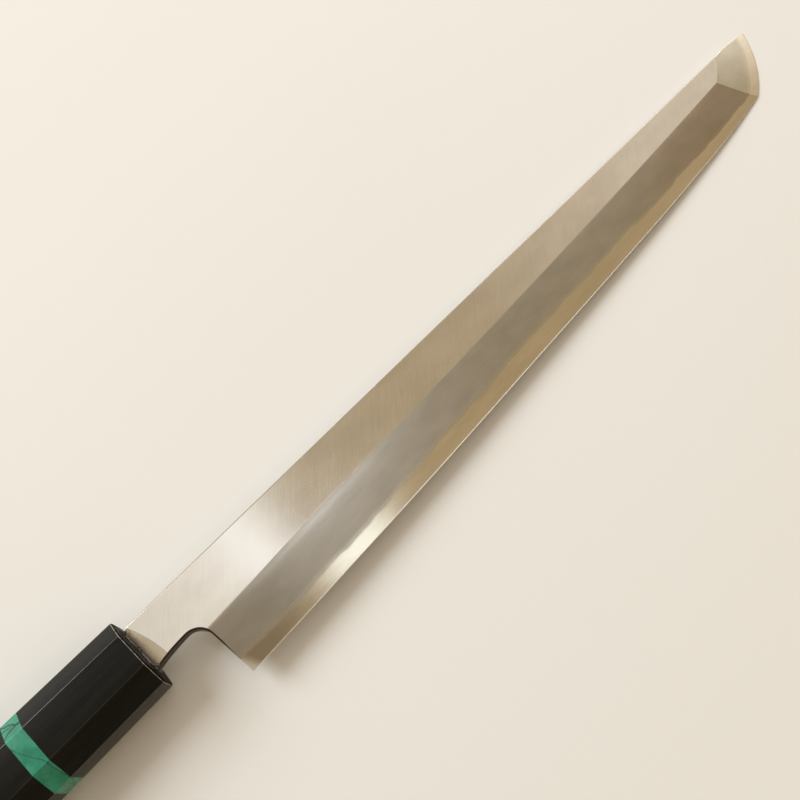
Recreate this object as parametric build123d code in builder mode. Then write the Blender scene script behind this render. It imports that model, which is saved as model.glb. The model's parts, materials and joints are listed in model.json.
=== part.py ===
from build123d import *

import os
from math import cos, radians, sin, sqrt

# A right-handed sword-tipped slicing knife, in millimetres. A long blade, ground on
# one side only, runs through a short neck into an eight-sided handle, whose black
# ferrule and body stand either side of a stone ring.
#
# The knife has coordinates of its own: x from the ferrule's front face to the tip,
# y towards the spine and z out of the front of the blade, with the handle's centre
# line at y = z = 0. It lies as it lies on a table, flat side down: the blade outweighs
# the handle, so it tips forward onto the ferrule's front edge and the blade's point.

# Blade
blade_length = 290.5  # heel to point
neck_length = 18.75  # ferrule to heel
heel_height = 35.9
spine_height = 9.0  # above the handle's centre line
stock_thickness = 4.0  # the bar at the ferrule
point_thickness = 2.2  # the bar at the point, before the tip is ground
spine_drop_length = 27.0
spine_drop_radius = 640.0

# The front bevel, as distance from the heel over the blade's length, then the depth
# of the cutting edge and of the ridge under the spine over the heel's height.
bevel_shares = (
    (-0.10, 1.008, 0.538),
    (0.00, 1.000, 0.507),
    (0.15, 0.972, 0.449),
    (0.30, 0.932, 0.417),
    (0.45, 0.880, 0.383),
    (0.60, 0.828, 0.340),
    (0.75, 0.764, 0.290),
    (0.87, 0.687, 0.240),
    (0.93, 0.622, 0.212),
    (1.05, 0.474, 0.156),
)

# Tip, ground as part of a cone
tip_length = 21.1  # along the blade, edge corner to point
tip_height = 22.5  # edge corner under the spine
tip_arc_radius = 52.5
tip_facet_width = 15.7

# The hard steel's thickness over the bar's, against distance from the heel. The
# forged seam waves, and comes out as the wandering line low on the bevel.
core_shares = (
    (0.00, 0.268),
    (0.15, 0.248),
    (0.32, 0.310),
    (0.52, 0.350),
    (0.70, 0.310),
    (0.88, 0.240),
    (1.05, 0.215),
)
core_start = 8.0  # from the ferrule

# Back hollow, ground on a wheel
wheel_radius = 400.0
rim_width = 1.5
hollow_run_out_radius = 45.0
hollow_past_corner = 5.3  # the hollow's reach into the tip

# Neck
neck_mouth_height = 16.0
neck_waist_height = 14.8
choil_radius = 5.5
heel_lean = 3.4  # degrees
neck_grind_depth = 0.25
neck_grind_top = 1.5  # from the ferrule, at the spine
neck_grind_bottom = 5.4  # from the ferrule, at the lower edge

# Tang
neck_seat = 5.0  # the neck's length inside the ferrule
tang_length = 98.0  # from the ferrule's face
tang_front_height = 11.0
tang_back_height = 6.5
tang_front_thickness = 3.4
tang_back_thickness = 2.2

# Handle, measured across its flats at the ferrule's face and at the butt
handle_length = 147.0
ferrule_length = 34.6
ring_length = 5.7
front_height = 23.8
front_width = 21.1
front_corner = 23.3
butt_height = 26.7
butt_width = 22.3
butt_corner = 26.0
corner_turn = 48.6  # degrees from the narrow flat to the corner flat
front_chamfer = 0.6
butt_chamfer = 1.2

# Inside the handle
glue_gap = 0.4
slot_depth = 9.0
slot_corner_radius = 1.2
pocket_end_gap = 2.0
dowel_diameter = 14.0
dowel_length = 99.0
dowel_fit = 0.05
bore_end_gap = 1.0

# Resin bead round the neck
bead_lap = 0.7
bead_height = 0.9
bead_skin = 0.2
drop_radius = 1.3

cut_overrun = 4.0

butt_x = -handle_length
heel_x = neck_length
tip_x = heel_x + blade_length
edge_corner_x = tip_x - tip_length
heel_y = spine_height - heel_height
back_z = -stock_thickness / 2
thickness_taper = (stock_thickness - point_thickness) / tip_x


def front_z(x):
    """Height of the blade's flat front at x."""
    return stock_thickness / 2 - thickness_taper * x


def spine_y(x):
    """The spine's height at x, falling on an arc over its last stretch."""
    past = max(x - (tip_x - spine_drop_length), 0)
    return spine_height - spine_drop_radius + sqrt(spine_drop_radius**2 - past**2)


# The handle's eight flats: the turn of each one's normal from +y towards +z, and the
# size across it at the ferrule's face and at the butt.
flats = [
    (half_turn + turn, front, butt)
    for half_turn in (0, 180)
    for turn, front, butt in (
        (0, front_height, butt_height),
        (corner_turn, front_corner, butt_corner),
        (90, front_width, butt_width),
        (180 - corner_turn, front_corner, butt_corner),
    )
]


def flat_reach(flat, x):
    """Distance of a flat from the handle's centre line at x."""
    turn, front, butt = flat
    return (front + (front - butt) * x / handle_length) / 2


def flat_corner(flat, following, x, inset=0):
    """The point at x where a flat meets the following one, both drawn in by the inset."""
    turn, next_turn = radians(flat[0]), radians(following[0])
    reach, next_reach = flat_reach(flat, x) - inset, flat_reach(following, x) - inset
    spread = sin(next_turn - turn)
    y = (reach * sin(next_turn) - next_reach * sin(turn)) / spread
    z = (next_reach * cos(turn) - reach * cos(next_turn)) / spread
    return Vector(x, y, z)


def handle_corners(x, inset=0):
    """All eight corners of the handle's outline at x."""
    return [flat_corner(*pair, x, inset) for pair in zip(flats, flats[1:] + flats[:1])]


# The tip's edge is an arc about a centre behind it, on the spine's side.
edge_corner = Vector(edge_corner_x, spine_height - tip_height, back_z)
point = Vector(tip_x, spine_y(tip_x), back_z)
chord = point - edge_corner
inward = Vector(-chord.Y, chord.X, 0).normalized()
tip_centre = (edge_corner + point) * 0.5 + inward * sqrt(tip_arc_radius**2 - (chord.length / 2) ** 2)

# The table's plane holds the front end of the ferrule's lower flat, and the point.
lower_corner_flat, lower_flat = flats[5], flats[6]
ferrule_foot = flat_corner(lower_corner_flat, lower_flat, -front_chamfer)
forward = Vector(point.X - ferrule_foot.X, 0, point.Z - ferrule_foot.Z).normalized()
table = Plane(origin=ferrule_foot, x_dir=forward, z_dir=forward.cross(Vector(0, 1, 0)))

# The origin is on the table under the middle of the knife's outline.
outermost = [
    table.to_local_coords(corner)
    for corner in (
        *handle_corners(butt_x + butt_chamfer),
        *handle_corners(butt_x, butt_chamfer),
        Vector(heel_x, heel_y, back_z),
        point,
    )
]
middle_x = (min(p.X for p in outermost) + max(p.X for p in outermost)) / 2
middle_y = (min(p.Y for p in outermost) + max(p.Y for p in outermost)) / 2
own_zero = table.to_local_coords(Vector(0, 0, 0)) - Vector(middle_x, middle_y, 0)
own_x = table.to_local_coords(Vector(1, 0, 0)) - table.to_local_coords(Vector(0, 0, 0))
own_z = table.to_local_coords(Vector(0, 0, 1)) - table.to_local_coords(Vector(0, 0, 0))
knife = Plane(origin=own_zero, x_dir=own_x, z_dir=own_z)


def knife_point(x, y, z):
    """A point given in the knife's own coordinates."""
    return knife.from_local_coords(Vector(x, y, z))


def knife_direction(x, y, z):
    """A direction given in the knife's own coordinates."""
    return knife_point(x, y, z) - knife.origin


def station(x):
    """The plane across the knife at x, its own x towards the spine and y to the front."""
    return Plane(knife_point(x, 0, 0), x_dir=knife.y_dir, z_dir=knife.x_dir)


def tang_size(x, clearance=0):
    """Height and thickness of the tapering tang at x, with the clearance all round."""
    share = (-x - neck_seat) / (tang_length - neck_seat)
    height = tang_front_height + (tang_back_height - tang_front_height) * share
    thickness = tang_front_thickness + (tang_back_thickness - tang_front_thickness) * share
    return height + 2 * clearance, thickness + 2 * clearance


# The blade as it is forged and ground, still in one piece. It starts as a flat bar cut
# to the plan outline of neck, choil and spine, with metal to spare where the bevel and
# the tip are ground.
lean = radians(heel_lean)
waist_y = spine_height - neck_waist_height
choil_centre_y = waist_y - choil_radius
waist_x = heel_x - (choil_radius + (choil_centre_y - heel_y) * sin(lean)) / cos(lean)
choil_start = (waist_x + choil_radius * cos(lean), choil_centre_y + choil_radius * sin(lean))
heel_foot = (heel_x + cut_overrun * sin(lean), heel_y - cut_overrun * cos(lean))
mouth_y = spine_height - neck_mouth_height
blank_end_x = tip_x + cut_overrun
drop_start_x = tip_x - spine_drop_length

with BuildPart() as blank:
    with BuildSketch(knife.offset(back_z)):
        with BuildLine():
            Line((-neck_seat, spine_height), (drop_start_x, spine_height))
            TangentArc((drop_start_x, spine_height), (blank_end_x, spine_y(blank_end_x)), tangent=(1, 0))
            Polyline((blank_end_x, spine_y(blank_end_x)), (blank_end_x, heel_foot[1]), heel_foot)
            Line(heel_foot, choil_start)
            TangentArc(choil_start, (waist_x, waist_y), tangent=(-sin(lean), cos(lean)))
            TangentArc((waist_x, waist_y), (0, mouth_y), tangent=(-1, 0))
            Polyline((0, mouth_y), (-neck_seat, mouth_y), (-neck_seat, spine_height))
        make_face()
    extrude(amount=stock_thickness)
    front_plane = Plane(
        knife_point(0, 0, stock_thickness / 2),
        x_dir=knife.y_dir,
        z_dir=knife_direction(thickness_taper, 0, 1),
    )
    split(bisect_by=front_plane, keep=Keep.BOTTOM)
    grind_top = knife_point(neck_grind_top, spine_height, stock_thickness / 2)
    grind_bottom = knife_point(neck_grind_bottom, mouth_y, stock_thickness / 2)
    grind_foot = knife_point(0, mouth_y, stock_thickness / 2 - neck_grind_depth)
    neck_ground = Plane(
        grind_top,
        x_dir=grind_bottom - grind_top,
        z_dir=(grind_bottom - grind_top).cross(grind_bottom - grind_foot),
    )
    split(bisect_by=neck_ground, keep=Keep.BOTTOM)
    for x in (-neck_seat, -tang_length):
        with BuildSketch(station(x)):
            Rectangle(*tang_size(x))
    loft()

# What the wheel takes off below the ridge: its inner side runs at each station from
# the cutting edge, on the back, up to the ridge on the front.
spare_y = heel_y - 2 * cut_overrun
with BuildPart() as bevel_waste:
    for along, edge_depth, ridge_depth in bevel_shares:
        x = heel_x + along * blade_length
        edge = Vector(spine_height - edge_depth * heel_height, back_z)
        ridge = Vector(spine_height - ridge_depth * heel_height, front_z(x))
        beyond = (ridge - edge).normalized() * cut_overrun
        with BuildSketch(station(x)):
            with BuildLine():
                Polyline(
                    edge - beyond,
                    ridge + beyond,
                    (spare_y, (ridge + beyond).Y),
                    (spare_y, (edge - beyond).Y),
                    close=True,
                )
            make_face()
    loft()

# What the wheel takes off outside the cone of the tip's facet.
tip_ridge_rise = front_z(edge_corner_x) - back_z
cone_height = 2 * tip_ridge_rise

with BuildPart() as tip_waste:
    with BuildSketch(knife.offset(back_z - tip_ridge_rise)):
        with Locations((edge_corner_x - tip_facet_width, 0)):
            Rectangle(
                tip_length + tip_facet_width + 2 * cut_overrun,
                3 * heel_height,
                align=(Align.MIN, Align.CENTER),
            )
    extrude(amount=tip_ridge_rise + cone_height)
    with BuildSketch(knife.offset(back_z - tip_ridge_rise)):
        with Locations((tip_centre.X, tip_centre.Y)):
            Circle(tip_arc_radius + tip_facet_width)
    with BuildSketch(knife.offset(back_z + cone_height)):
        with Locations((tip_centre.X, tip_centre.Y)):
            Circle(tip_arc_radius - 2 * tip_facet_width)
    loft(mode=Mode.SUBTRACT)

# The hollow of the back is the print of a large wheel, whose axle runs along the
# blade, sinks towards the handle and follows the blade's middle. It runs out on an arc
# at either end.
hollow_tip_x = edge_corner_x + hollow_past_corner
hollow_tip_edge_y = tip_centre.Y - sqrt(tip_arc_radius**2 - (hollow_tip_x - tip_centre.X) ** 2)
hollow_tip_y = (spine_y(hollow_tip_x) + hollow_tip_edge_y) / 2
heel_sink = (heel_height / 2 - rim_width) ** 2 / (2 * wheel_radius)
tip_sink = (spine_y(hollow_tip_x) - hollow_tip_y - rim_width) ** 2 / (2 * wheel_radius)
heel_run_out = sqrt(2 * hollow_run_out_radius * heel_sink)
tip_run_out = sqrt(2 * hollow_run_out_radius * tip_sink)
hollow_start = knife_point(heel_x + rim_width, (spine_height + heel_y) / 2, back_z + heel_sink)
hollow_end = knife_point(hollow_tip_x, hollow_tip_y, back_z + tip_sink)
hollow_length = (hollow_end - hollow_start).length
wheel_plane = Plane(hollow_start, x_dir=hollow_end - hollow_start, z_dir=-knife.y_dir)

with BuildPart() as hollow_waste:
    with BuildSketch(wheel_plane):
        with BuildLine():
            heel_arc = RadiusArc((0, -heel_sink), (heel_run_out, 0), hollow_run_out_radius)
            floor = Line(heel_arc @ 1, (hollow_length - tip_run_out, 0))
            tip_arc = RadiusArc(floor @ 1, (hollow_length, -tip_sink), hollow_run_out_radius)
            Polyline(
                tip_arc @ 1,
                (hollow_length, -wheel_radius / 2),
                (0, -wheel_radius / 2),
                heel_arc @ 0,
            )
        make_face()
    revolve(axis=Axis(wheel_plane.from_local_coords((0, -wheel_radius)), wheel_plane.x_dir))

with BuildPart() as ground_blade:
    add(blank.part)
    add(bevel_waste.part, mode=Mode.SUBTRACT)
    add(tip_waste.part, mode=Mode.SUBTRACT)
    add(hollow_waste.part, mode=Mode.SUBTRACT)

# The zone of the hard steel: all that lies behind the forged seam. It starts in the
# neck, on a long scarf up to the heel.
side = Plane(knife.origin, x_dir=knife.x_dir, z_dir=-knife.y_dir)
seam = []
for along, share in core_shares:
    x = heel_x + along * blade_length
    seam.append((x, back_z + share * (front_z(x) - back_z)))

with BuildPart() as core_zone:
    with BuildSketch(side):
        with BuildLine():
            seam_line = Spline(*seam)
            Polyline(
                seam_line @ 1,
                ((seam_line @ 1).X, back_z - cut_overrun),
                (core_start, back_z - cut_overrun),
                (core_start, back_z),
                seam_line @ 0,
            )
        make_face()
    extrude(amount=2 * heel_height, both=True)

with BuildPart() as hagane:
    add(ground_blade.part)
    add(core_zone.part, mode=Mode.INTERSECT)
hagane.part.label = "hagane"

with BuildPart() as jigane:
    add(ground_blade.part)
    add(core_zone.part, mode=Mode.SUBTRACT)
jigane.part.label = "jigane"

# The cavity for neck and tang: a slot through the ferrule's front, then a tapering
# pocket down the dowel.
pocket_end = tang_length + pocket_end_gap
neck_middle = (spine_height + mouth_y) / 2

with BuildPart() as tang_cavity:
    with BuildSketch(station(0)):
        with Locations((neck_middle, 0)):
            RectangleRounded(
                neck_mouth_height + 2 * glue_gap,
                stock_thickness + 2 * glue_gap,
                slot_corner_radius,
            )
    extrude(amount=-slot_depth)
    for x in (-slot_depth, -pocket_end):
        with BuildSketch(station(x)):
            Rectangle(*tang_size(x, glue_gap))
    loft()


def flat_plane(flat):
    """The plane of one of the handle's flats, which leans out towards the butt."""
    turn, front, butt = flat
    outward = (cos(radians(turn)), sin(radians(turn)))
    reach = flat_reach(flat, 0)
    lean_out = (butt - front) / (2 * handle_length)
    return Plane(
        knife_point(0, reach * outward[0], reach * outward[1]),
        z_dir=knife_direction(lean_out, *outward),
    )


flat_planes = [flat_plane(flat) for flat in flats]
ring_front = -ferrule_length
body_front = ring_front - ring_length
dowel_front = -slot_depth
dowel_back = dowel_front - dowel_length
blank_width = 2 * butt_height
along_knife = Axis(knife.origin, knife.x_dir)

with BuildPart() as ferrule:
    with BuildSketch(station(0)):
        Rectangle(blank_width, blank_width)
    extrude(amount=-ferrule_length)
    for plane in flat_planes:
        split(bisect_by=plane, keep=Keep.BOTTOM)
    chamfer(ferrule.faces().sort_by(along_knife)[-1].edges(), length=front_chamfer)
    with BuildSketch(station(ring_front)):
        Circle(dowel_diameter / 2 + dowel_fit)
    extrude(amount=ferrule_length - slot_depth, mode=Mode.SUBTRACT)
    add(tang_cavity.part, mode=Mode.SUBTRACT)
ferrule.part.label = "ferrule"

with BuildPart() as stone_ring:
    with BuildSketch(station(ring_front)):
        Rectangle(blank_width, blank_width)
        Circle(dowel_diameter / 2 + dowel_fit, mode=Mode.SUBTRACT)
    extrude(amount=-ring_length)
    for plane in flat_planes:
        split(bisect_by=plane, keep=Keep.BOTTOM)
stone_ring.part.label = "stone_ring"

with BuildPart() as handle_body:
    with BuildSketch(station(butt_x)):
        Rectangle(blank_width, blank_width)
    extrude(amount=body_front - butt_x)
    for plane in flat_planes:
        split(bisect_by=plane, keep=Keep.BOTTOM)
    chamfer(handle_body.faces().sort_by(along_knife)[0].edges(), length=butt_chamfer)
    with BuildSketch(station(body_front)):
        Circle(dowel_diameter / 2 + dowel_fit)
    extrude(amount=dowel_back - bore_end_gap - body_front, mode=Mode.SUBTRACT)
handle_body.part.label = "handle_body"

with BuildPart() as dowel:
    with BuildSketch(station(dowel_front)):
        Circle(dowel_diameter / 2)
    extrude(amount=-dowel_length)
    add(tang_cavity.part, mode=Mode.SUBTRACT)
dowel.part.label = "dowel"

with BuildPart() as tang_adhesive:
    add(tang_cavity.part)
    add(ground_blade.part, mode=Mode.SUBTRACT)
tang_adhesive.part.label = "tang_adhesive"

# The resin that seals the mouth: a bead that laps onto the ferrule's face and up the
# neck, with a drop where the neck's lower edge enters.
bead_foot = glue_gap + bead_lap

with BuildPart() as mouth_seal:
    for x, spread in ((0, bead_foot), (bead_height, bead_skin)):
        with BuildSketch(station(x)):
            with Locations((neck_middle, 0)):
                RectangleRounded(neck_mouth_height + 2 * spread, stock_thickness + 2 * spread, spread)
    loft()
    with Locations(knife_point(bead_height / 2, mouth_y, stock_thickness / 2)):
        Sphere(drop_radius)
    split(bisect_by=station(0), keep=Keep.TOP)
    add(ground_blade.part, mode=Mode.SUBTRACT)
mouth_seal.part.label = "mouth_seal"

os.makedirs("parts", exist_ok=True)
for piece in (jigane, hagane, ferrule, stone_ring, handle_body, dowel, tang_adhesive, mouth_seal):
    export_step(piece.part, f"parts/{piece.part.label}.step")
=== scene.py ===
import json
import math

import bmesh
import bpy
import numpy as np
from mathutils import Matrix


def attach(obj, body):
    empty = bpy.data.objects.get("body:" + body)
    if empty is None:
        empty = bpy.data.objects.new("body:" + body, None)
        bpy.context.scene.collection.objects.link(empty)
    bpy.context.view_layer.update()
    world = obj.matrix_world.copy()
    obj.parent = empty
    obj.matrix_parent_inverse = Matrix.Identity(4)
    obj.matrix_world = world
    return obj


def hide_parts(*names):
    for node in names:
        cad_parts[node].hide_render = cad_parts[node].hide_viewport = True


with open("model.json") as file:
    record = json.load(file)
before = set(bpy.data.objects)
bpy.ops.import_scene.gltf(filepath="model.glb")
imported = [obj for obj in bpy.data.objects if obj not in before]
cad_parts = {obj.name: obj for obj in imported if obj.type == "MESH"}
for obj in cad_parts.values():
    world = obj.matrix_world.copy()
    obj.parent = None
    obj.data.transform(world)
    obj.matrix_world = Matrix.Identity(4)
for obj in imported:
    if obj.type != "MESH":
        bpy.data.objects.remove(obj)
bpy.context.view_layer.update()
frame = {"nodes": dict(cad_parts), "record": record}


# Iron cladding. Soft iron, forged over the hard steel and ground on its front only: a
# flat, a ridge and a wide bevel misted on stones, with a facet of its own at the
# cut-off tip. The same bar is drawn down into the neck, and the tang in the handle.
blade_length = 290.5
neck_length = 18.75
heel_height = 35.9
heel_lean = math.radians(3.4)
spine_height = 9.0
spine_drop_length = 27.0
spine_drop_radius = 640.0
stock_thickness = 4.0
point_thickness = 2.2
tip_length = 21.1
tip_height = 22.5
tip_arc_radius = 52.5
tip_facet_width = 15.7
neck_mouth_height = 16.0
neck_waist_height = 14.8
neck_arc_radius = 63.7
neck_seat = 5.0
neck_grind_depth = 0.25
neck_grind_top = 1.5
neck_grind_bottom = 5.4
neck_grind_bow = 0.85
choil_radius = 5.5
scarf_start = 8.0
bevel_crown = 0.2
ridge_roll = 0.20
ridge_roll_share = 0.22
spine_ease = 0.50
choil_ease = 0.55
ease_end = 13.0
ease_run = 6.0
seam_rise_power = 12
tang_length = 98.0
tang_front = (11.0, 3.4)
tang_back = (6.5, 2.2)

# Distance from the heel as a share of the blade's length, against the depth of the
# edge and of the ridge as shares of the heel's height, and the hard steel's share of
# the bar's thickness. The hammer leaves that share wavering a little.
bevel_along = (-0.10, 0.00, 0.15, 0.30, 0.45, 0.60, 0.75, 0.87, 0.93, 1.05)
edge_depths = (1.008, 1.000, 0.972, 0.932, 0.880, 0.828, 0.764, 0.687, 0.622, 0.474)
ridge_depths = (0.538, 0.507, 0.449, 0.417, 0.383, 0.340, 0.290, 0.240, 0.212, 0.156)
core_along = (0.00, 0.15, 0.32, 0.52, 0.70, 0.88, 1.05)
core_shares = (0.268, 0.248, 0.310, 0.350, 0.310, 0.240, 0.215)
waver_lengths = np.array([47.0, 31.0, 17.0, 9.5, 5.2])
waver_depths = np.array([0.010, 0.010, 0.008, 0.006, 0.003])
waver_starts = np.random.default_rng(4).uniform(0, 2 * math.pi, 5)

tip_x = neck_length + blade_length
edge_corner_x = tip_x - tip_length
heel_y = spine_height - heel_height
mouth_y = spine_height - neck_mouth_height
waist_y = spine_height - neck_waist_height
choil_y = waist_y - choil_radius
choil_reach = choil_radius + (choil_y - heel_y) * math.sin(heel_lean)
choil_x = neck_length - choil_reach / math.cos(heel_lean)
back_z = -stock_thickness / 2

# The knife lies tipped forward on its ferrule and its point. Its pieces are worked out
# in millimetres on the knife itself: x from the ferrule's face to the point, y towards
# the spine and z out of the bevelled front. The butt's mount gives its place and tilt.
handle_length = 147.0
butt = next(mount for mount in frame["record"]["mounts"] if mount["name"] == "butt_face")
forward = -np.array(butt["axis"])
knife_axes = np.stack([forward, (0, 1, 0), np.cross(forward, (0, 1, 0))])
knife_zero = np.array(butt["pos_m"]) + 0.001 * handle_length * forward


def on_table(points):
    """Knife millimetres in the frame's metres: the zero point, plus x, y and z along the
    knife's axes."""
    return knife_zero + 0.001 * (np.asarray(points) @ knife_axes)


def through(x, knots, values):
    """A smooth curve at x through a table, whose knots are shares of the blade's length:
    between two knots a cubic with, at each knot, the mean slope of the table there."""
    x, knots, values = (x - neck_length) / blade_length, np.array(knots), np.array(values)
    slopes = np.gradient(values, knots)
    i = np.clip(np.searchsorted(knots, x) - 1, 0, len(knots) - 2)
    step, rise = knots[i + 1] - knots[i], values[i + 1] - values[i]
    t = (x - knots[i]) / step
    start_bend, end_bend = slopes[i] * step - rise, rise - slopes[i + 1] * step
    return values[i] + rise * t + t * (1 - t) * ((1 - t) * start_bend + t * end_bend)


def thickness(x):
    """The bar's thickness at x, on an even taper from the ferrule to the point."""
    return stock_thickness - (stock_thickness - point_thickness) / tip_x * x


def spine_y(x):
    """The spine's height at x: level, then down on an arc over the last stretch."""
    past = np.maximum(x - (tip_x - spine_drop_length), 0)
    return spine_height - spine_drop_radius + np.sqrt(spine_drop_radius**2 - past**2)


def edge_y(x):
    """The cutting edge's height at x, by its table."""
    return spine_height - heel_height * through(x, bevel_along, edge_depths)


def ridge_y(x):
    """The ridge's height at x, by its table."""
    return spine_height - heel_height * through(x, bevel_along, ridge_depths)


def core_share(x):
    """The hard steel's share of the thickness at x: its table and a sum of small sine
    waves, run out to nothing on a scarf in the neck."""
    turns = np.asarray(x)[..., None] / waver_lengths * 2 * math.pi + waver_starts
    share = through(x, core_along, core_shares) + np.sin(turns) @ waver_depths
    return share * np.clip((x - scarf_start) / (neck_length - scarf_start), 0, 1)


def seam_z(x):
    """Height of the welded seam at x: the back, and the core's share of the thickness."""
    return back_z + core_share(x) * thickness(x)


def eased(x, down, ease):
    """How far a front corner is eased at x and that share down the bevel: the full
    ease, running out where less than three times as much iron lies over the seam, and
    to a tenth of it along the tip's facet."""
    over_seam = (1 - down - core_share(x)) * thickness(x)
    by_tip = np.clip((tip_x - ease_end - x) / ease_run, 0.1, 1)
    return ease * np.clip(over_seam / (3 * ease), 0, 1) * by_tip


edge_corner = np.array([edge_corner_x, spine_height - tip_height])
point = np.array([tip_x, float(spine_y(tip_x))])
chord = point - edge_corner
chord_length = np.hypot(*chord)
tip_centre = (edge_corner + point) / 2 + np.array([-chord[1], chord[0]]) * (
    math.sqrt(tip_arc_radius**2 - (chord_length / 2) ** 2) / chord_length
)


def tip_distance(x, y):
    """Distance from the tip's centre."""
    return np.hypot(x - tip_centre[0], y - tip_centre[1])


def tip_turn(x, y):
    """Direction from the tip's centre."""
    return np.arctan2(y - tip_centre[1], x - tip_centre[0])


def cone_radius(x, down):
    """The tip cone's radius where its facet, at x, is that share down from the front."""
    return tip_arc_radius - tip_facet_width * (1 - down) * thickness(x) / thickness(edge_corner_x)


def bevel_y(x, down):
    """Height on the bevel at x: down is 0 on the ridge and 1 on the cutting edge."""
    return ridge_y(x) + down * (edge_y(x) - ridge_y(x))


def heel_x(y, ease):
    """The heel's outline as x against y, drawn in by the ease: the choil's arc above, and
    the leaning straight line below the point where the two touch."""
    radius = choil_radius + ease
    arc = choil_x + np.sqrt(np.maximum(radius**2 - (y - choil_y) ** 2, 0))
    line = neck_length - (y - heel_y) * math.tan(heel_lean) + ease / math.cos(heel_lean)
    return np.where(y > choil_y + radius * math.sin(heel_lean), arc, line)


# An x that depends on itself is found in so many rounds, and a crossing by so many
# halvings, which settles both far below a micrometre.
rounds = 40
halvings = 50


def crossing(lag, low, high):
    """Where lag(x) turns from negative to positive, found by halving low to high."""
    for _ in range(halvings):
        middle = (low + high) / 2
        short = lag(middle) < 0
        low, high = np.where(short, middle, low), np.where(short, high, middle)
    return (low + high) / 2


def bevel_point(along, down):
    """The bevel: along runs from the heel's outline to the tip's cone, down from the
    ridge to the edge. From ridge to edge it is crowned by a parabola, and below the ridge
    it rolls over by a cube, in full near the heel and three tenths of that from two
    fifths on. Both run out to nothing over a fourteenth of the length at the ends."""
    start = np.full(down.shape, neck_length)
    for _ in range(rounds):
        start = heel_x(bevel_y(start, down), eased(start, down, choil_ease))
    end = crossing(
        lambda x: tip_distance(x, bevel_y(x, down)) - cone_radius(x, down),
        np.full(down.shape, edge_corner_x - tip_facet_width),
        np.full(down.shape, tip_x),
    )
    x = start + (end - start) * along
    roll_share = 1 - np.clip(1 - down / ridge_roll_share, 0, 1) ** 3
    roll = ridge_roll * roll_share * np.clip(1.5 - 3 * along, 0.3, 1)
    ends = np.clip(14 * along, 0, 1) * np.clip(14 * (1 - along), 0, 1)
    crown = ends * (1 - down) * (4 * bevel_crown * down + roll)
    return np.stack([x, bevel_y(x, down), back_z + (1 - down) * thickness(x) + crown], -1)


def facet_point(around, down):
    """The tip's facet: a cone about the tip's centre, where around runs from the
    bevel's end to the spine and down from the flat to the edge."""
    foot = bevel_point(np.ones(down.shape), down)

    def head_y(x):
        return spine_y(x) - eased(x, down, spine_ease)

    head_x = crossing(
        lambda x: tip_distance(x, head_y(x)) - cone_radius(x, down),
        np.full(down.shape, edge_corner_x - tip_facet_width / 2),
        np.full(down.shape, tip_x + 1),
    )
    foot_turn = tip_turn(foot[..., 0], foot[..., 1])
    turn = foot_turn + (tip_turn(head_x, head_y(head_x)) - foot_turn) * around
    x = foot[..., 0] + (head_x - foot[..., 0]) * around
    for _ in range(rounds):
        x = tip_centre[0] + cone_radius(x, down) * np.cos(turn)
    y = tip_centre[1] + cone_radius(x, down) * np.sin(turn)
    return np.stack([x, y, back_z + (1 - down) * thickness(x)], -1)


def seam_down(surface, places):
    """Where the seam crosses a front surface: the share down that leaves the core's share."""
    down = np.full(places.shape, 0.7)
    for _ in range(rounds):
        down = 1 - core_share(surface(places, down)[..., 0])
    return down


def fill(upper, lower, left, right, left_reach=0.0, right_reach=0.0):
    """A grid between four border lines: straight from upper to lower in each column, and
    near each end pushed over as far as the end line bows out of straight."""
    down = np.linspace(0, 1, len(left))[:, None]
    grid = upper + (lower - upper) * down[:, None]
    for side, column, reach in ((left, 0, left_reach), (right, -1, right_reach)):
        bow = side - (upper[column] + (lower[column] - upper[column]) * down)
        near = np.broadcast_to(reach, len(upper)).copy()
        near[column] = 1
        grid = grid + bow[:, None] * near[None, :, None]
    return grid


def on_arc(centre, radius, turn):
    """Points of an arc: the centre, plus the radius along the turn's cosine and sine."""
    return centre + radius * np.stack([np.cos(turn), np.sin(turn)], -1)


def round_over(inner, outer, rows=5):
    """A quarter round from a face's border to the wall outside it: outwards by the sine
    of the turn, and down by what its cosine falls short of one."""
    turn = np.linspace(0, math.pi / 2, rows)[:, None]
    reach = outer[:, :2] - inner[:, :2]
    across = inner[:, :2] + reach * np.sin(turn)[..., None]
    height = inner[:, 2] - np.hypot(*reach.T) * (1 - np.cos(turn))
    return np.concatenate([across, height[..., None]], -1)


def wall(top, bottom_z, rows=4):
    """A wall straight down from the top line to the bottom heights under it."""
    down = np.linspace(0, 1, rows)[:, None]
    height = top[:, 2] + (bottom_z - top[:, 2]) * down
    across = np.broadcast_to(top[:, :2], (rows, len(top), 2))
    return np.concatenate([across, height[..., None]], -1)


off_seam = 9.0
merge_distance = 2e-6


def read(items, name, kind=int):
    """One property of all a mesh's vertices, edges, corners or faces, as an array."""
    values = np.empty(len(items), kind)
    items.foreach_get(name, values)
    return values


def put(name, data):
    """A new object in the scene, at the origin and unturned."""
    thing = bpy.data.objects.new(name, data)
    bpy.context.scene.collection.objects.link(thing)
    return thing


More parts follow.
